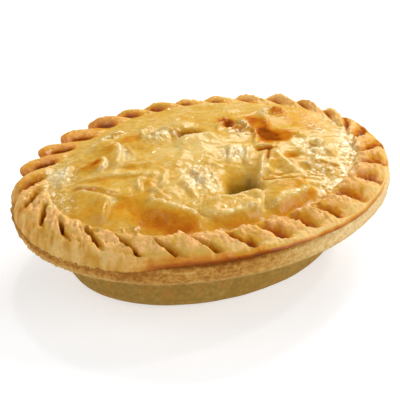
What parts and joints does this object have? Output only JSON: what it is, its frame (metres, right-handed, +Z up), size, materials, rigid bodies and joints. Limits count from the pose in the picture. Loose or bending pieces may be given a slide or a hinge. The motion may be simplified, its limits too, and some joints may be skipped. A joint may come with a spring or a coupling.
{
  "type": "pepper steak pie",
  "caption": "Oval baked pie: a pale short pastry case with a wide flange under a glazed, folded lid with a steam vent and a slanting crimped edge.",
  "frame": {"origin": "middle of the flat foot that the pie stands on", "axes": "+X along the oval's length, +Y across it to the side away from the steam vent, +Z up"},
  "size_m": [0.14, 0.105, 0.0412],
  "materials": {
    "short_pastry": "dry baked short pastry, pale tan with a slight olive cast, matt",
    "glazed_pastry": "egg-glazed golden pastry, glossy on the crown, orange-brown and drier on the crimps"
  },
  "bodies": {
    "root": {"pastry_case": "short_pastry", "pastry_lid": "glazed_pastry"}
  },
  "joints": []
}
